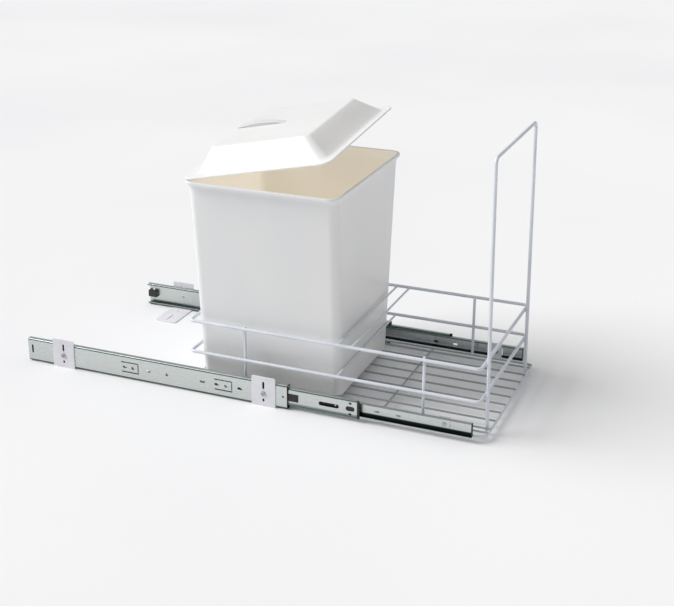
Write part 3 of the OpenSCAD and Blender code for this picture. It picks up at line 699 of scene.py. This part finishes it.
tub = make_piece("moulded_bin", bm, "bin", ["container"], [BIN_SHELL, BIN_LINING], crease=50)
print("bin loose edges", sum(1 for e in tub.data.edges if e.is_loose))

# %% [markdown]
# ## Lid
# A shallow dome on a flat flange with a bead round its edge. It is modelled flat, with its rear left corner
# on the origin, and then lifted and tilted as a whole to where it rests.

# %% Lid
lid_w, lid_d, lid_h, shell = 334 * MM, 290 * MM, 40 * MM, 2.4 * MM
lid_mid = (lid_w / 2, -lid_d / 2)
foot_mid, top_mid = (lid_w / 2, -lid_d / 2 - 3 * MM), (lid_w / 2, -lid_d / 2 + 4.5 * MM)
foot_w, foot_d, top_w, top_d = lid_w - 42 * MM, lid_d - 34 * MM, lid_w - 108 * MM, lid_d - 95 * MM


def slope(share, inset=0.0, z=None):
    """a level of the dome's slope; share 0 is its foot and 1 the flat top"""
    mid = (lid_mid[0], foot_mid[1] + (top_mid[1] - foot_mid[1]) * share)
    z = (3.2 + (lid_h / MM - 3.2) * share) * MM if z is None else z
    w, d = foot_w + (top_w - foot_w) * share - 2 * inset, foot_d + (top_d - foot_d) * share - 2 * inset
    return level(bm, w, d, (15 - 5 * share) * MM - inset * 0.5, z, mid)


bm = bmesh.new()
skin_out = []
# the flange and its bead: how much smaller each level is than the lid, its corner radius and its height
FLANGE = [(2.0, 19, 0.0), (0.5, 19.8, 0.25), (0.0, 20, 0.7), (0.0, 20, 1.15), (1.1, 19.5, 1.5),
          (0.0, 20, 1.85), (0.0, 20, 2.4), (0.6, 19.7, 2.9), (2.4, 18.8, 3.2), (9.0, 17.5, 3.2)]
for less, radius, z in FLANGE:
    skin_out.append(level(bm, lid_w - less * MM, lid_d - less * MM, radius * MM, z * MM, lid_mid))
skin_out += [level(bm, foot_w + 5 * MM, foot_d + 5 * MM, 17 * MM, 3.2 * MM, foot_mid),
             level(bm, foot_w + 1.2 * MM, foot_d + 1.2 * MM, 15.6 * MM, 3.9 * MM, foot_mid)]
skin_out += [slope(s) for s in (0.09, 0.35, 0.65, 0.93)]
skin_out += [level(bm, top_w + 0.6 * MM, top_d + 0.5 * MM, 10 * MM, lid_h - 0.9 * MM, top_mid),
             level(bm, top_w - 3.4 * MM, top_d - 2.8 * MM, 9 * MM, lid_h - 0.15 * MM, top_mid),
             level(bm, top_w - 8 * MM, top_d - 7 * MM, 8 * MM, lid_h, top_mid)]
skin_in = [level(bm, top_w - 10 * MM, top_d - 9 * MM, 7 * MM, lid_h - shell, top_mid)]
skin_in += [slope(s, shell * 1.25) for s in (0.88, 0.6, 0.3, 0.05)]
skin_in += [level(bm, foot_w - 4.6 * MM, foot_d - 4.6 * MM, 13 * MM, 0.5 * MM, foot_mid),
            level(bm, foot_w - 2.6 * MM, foot_d - 2.6 * MM, 14 * MM, 0.0, foot_mid)]
for lower, upper in zip(skin_out, skin_out[1:]):
    wall(bm, lower, upper)
close_level(bm, skin_out[-1])
close_level(bm, skin_in[0])
for upper, lower in zip(skin_in, skin_in[1:]):
    wall(bm, upper, lower)
wall(bm, skin_in[-1], skin_out[0])

# %% [markdown]
# ### Grip
# A low arch stands along the middle of the top: a web with a thin cap that overhangs it, which a finger hooks
# under. Each is a bar that is cut across into short lengths, then arched by lifting every cross-section.

# %% Grip
grip_l, grip_rise, grip_y = 104 * MM, 6.5 * MM, lid_mid[1] + 52 * MM
arch = (grip_l * grip_l / 4 + grip_rise * grip_rise) / (2 * grip_rise)


def arch_height(y):
    return lid_h + grip_rise - arch + math.sqrt(max(arch * arch - (y - grip_y) ** 2, 0.0))


def arched_bar(bm, width, low_of, high_of, length, ease):
    """adds a bar along Y whose bottom and top follow two heights"""
    bar = bmesh.new()
    stand = Matrix.Translation((lid_mid[0], grip_y, lid_h)) @ Matrix.Diagonal((width, length, 2 * MM, 1))
    bmesh.ops.create_cube(bar, size=1.0, matrix=stand)
    along = [e for e in bar.edges if abs(e.verts[0].co.y - e.verts[1].co.y) > length / 2]
    bmesh.ops.subdivide_edges(bar, edges=along, cuts=23, use_grid_fill=True)
    for v in bar.verts:
        y = v.co.y
        v.co.z = (high_of if v.co.z > lid_h else low_of)(y)
        # the bar is narrower at its ends, as a flattened ellipse
        fullness = math.sqrt(max(1 - ((y - grip_y) / (length / 2)) ** 2, 0))
        v.co.x = lid_mid[0] + (v.co.x - lid_mid[0]) * (0.62 + 0.38 * fullness)
    rims = [e for e in bar.edges if e.is_manifold and e.calc_face_angle(0) > 0.9]
    bmesh.ops.bevel(bar, geom=rims, offset=ease, offset_type="OFFSET", affect="EDGES", segments=2,
                    profile=0.5, material=-1, clamp_overlap=True)
    loose = bpy.data.meshes.new("bar")
    bar.to_mesh(loose)
    bar.free()
    bm.from_mesh(loose)
    bpy.data.meshes.remove(loose)


arched_bar(bm, 13 * MM, lambda y: lid_h - 0.6 * MM, lambda y: arch_height(y) - 1.0 * MM,
           grip_l - 6 * MM, 0.3 * MM)
arched_bar(bm, 16 * MM, lambda y: arch_height(y) - 1.5 * MM, arch_height, grip_l - 1 * MM, 0.45 * MM)
hinge = next(j for j in frame["joints"] if j["name"] == "lid_swing")
pivot = Vector(hinge["pos_m"])
lift = Matrix.Translation(pivot) @ Matrix.Rotation(math.radians(13), 4, Vector(hinge["axis"]).normalized())
bmesh.ops.transform(bm, matrix=lift, verts=bm.verts)
lid = make_piece("moulded_lid", bm, "lid", ["container_lid"], [LID_SHELL], crease=42)
lid_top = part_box("container_lid")[1].z
print("lid top", round(max(v.co.z for v in lid.data.vertices) / MM, 1), "of", round(lid_top / MM, 1))

# %% [markdown]
# ## Sheet metal
# The slide members and the brackets are cut and rolled from strip, so no edge is razor sharp. The engineering
# solids already have every hole and bend: a merged copy of each gets a narrow bevel on its sharp edges, and
# that bevel catches the thin highlights that make sheet metal read as metal.

# %% Eased copies
def eased(node, body, finish, ease, name=None, sharp=28):
    """a copy of a node's solid with its sharp edges eased"""
    bm = bmesh.new()
    bm.from_mesh(nodes[node].data)
    bmesh.ops.remove_doubles(bm, verts=bm.verts, dist=1e-6)
    bmesh.ops.dissolve_limit(bm, angle_limit=math.radians(0.6), verts=bm.verts, edges=bm.edges,
                             use_dissolve_boundaries=False)
    rims = [e for e in bm.edges if e.is_manifold and e.calc_face_angle(0) > math.radians(sharp)]
    bmesh.ops.bevel(bm, geom=rims, offset=ease, offset_type="OFFSET", affect="EDGES", segments=2,
                    profile=0.5, material=-1, clamp_overlap=True)
    for f in bm.faces:
        f.material_index = 0
    return make_piece(name or node + "_rolled", bm, body, [node], [finish], crease=12)


for side in ("left", "right"):
    eased(side + "_cabinet_member", side + "_cabinet", ZINC[side + "_cabinet"], 0.25 * MM)
    eased(side + "_middle_member", side + "_middle", ZINC[side + "_middle"], 0.22 * MM)
    eased(side + "_drawer_member", "frame", ZINC[side + "_drawer"], 0.22 * MM)
    eased(side + "_front_bracket", side + "_cabinet", BRACKET_COAT, 0.4 * MM)
    eased(side + "_rear_bracket", side + "_cabinet", BRACKET_COAT, 0.4 * MM)
    eased(side + "_middle_cap", side + "_middle", BLACK_PLASTIC, 0.35 * MM)
    eased(side + "_bumper", side + "_cabinet", BLACK_PLASTIC, 0.9 * MM)
    eased(side + "_release_lever", side + "_lever", BLACK_PLASTIC, 0.25 * MM)
eased("slide_tabs", "frame", WIRE_COAT, 0.4 * MM)

# %% [markdown]
# ## Parts that keep their solids
# Ball cages, balls and screws have the right shape already. They get their finish and are shaded smooth
# between their sharp edges.

# %% Finishes on the solids
KEPT = {"tab_screws": PLATED_SCREW}
for side in ("left", "right"):
    KEPT.update({side + "_inner_cage": ROLLED_ZINC, side + "_outer_cage": BLACK_PLASTIC,
                 side + "_bracket_screws": PLATED_SCREW,
                 side + "_inner_balls": POLISHED_BALL, side + "_outer_balls": POLISHED_BALL})
# the solids that the pieces above replace get the same finish as their piece
REPLACED = {"floor_wires": GRID_PAINTED_SHADE, "cross_wires": GRID_PAINTED_SHADE,
            "container": BIN_SHELL, "container_lid": LID_SHELL}
for node in ("handle_loop", "upper_ring", "lower_ring", "side_posts", "upper_dividers", "lower_divider",
             "base_ring", "slide_tabs"):
    REPLACED[node] = WIRE_COAT
for side in ("left", "right"):
    for member in ("cabinet", "middle", "drawer"):
        REPLACED[side + "_" + member + "_member"] = ZINC[side + "_" + member]
    for bracket in ("_front_bracket", "_rear_bracket"):
        REPLACED[side + bracket] = BRACKET_COAT
    for stop in ("_middle_cap", "_bumper", "_release_lever"):
        REPLACED[side + stop] = BLACK_PLASTIC
for node, finish in {**REPLACED, **KEPT}.items():
    nodes[node].data.materials.clear()
    nodes[node].data.materials.append(finish)
for node in KEPT:
    nodes[node].data.polygons.foreach_set("use_smooth", [True] * len(nodes[node].data.polygons))
    nodes[node].data.set_sharp_from_angle(angle=math.radians(30))
print("solids with a finish", len(REPLACED) + len(KEPT), "of", len(nodes))

# %% [markdown]
# ## Floor
# A plain, pale studio floor that fills the camera's picture. A low view from behind shows its far edge. It is
# part of the stage and not of the object.

# %% Floor
def studio_paper():
    mat, shader, where = new_finish("studio_paper", 0.75, spec=0.3)
    cloud = noise(mat, where, 0.8, detail=2.0)
    fibre = noise(mat, where, 700, detail=2.0)
    join(mat, tint(mat, cloud, (0.86, 0.86, 0.87), (0.90, 0.90, 0.905)), shader, "Base Color")
    relief(mat, shader, fibre, 0.0001, 0.2)
    return mat


bm = bmesh.new()
bmesh.ops.create_grid(bm, x_segments=8, y_segments=8, size=14.0)
bmesh.ops.translate(bm, vec=(0, 0, cad_low.z), verts=bm.verts)
floor_mesh = bpy.data.meshes.new("floor")
bm.to_mesh(floor_mesh)
bm.free()
floor_mesh.materials.append(studio_paper())
floor = bpy.data.objects.new("floor", floor_mesh)
bpy.context.scene.collection.objects.link(floor)
floor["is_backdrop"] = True

# %% [markdown]
# The looks should leave the object's size as it is; the difference between the visual box and the
# engineering box is printed in millimetres.

seen_low, seen_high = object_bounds()
growth = [round((a - b) / MM, 2) for a, b in zip([*seen_low, *seen_high], [*cad_low, *cad_high])]
print("visual box minus engineering box in mm", growth)
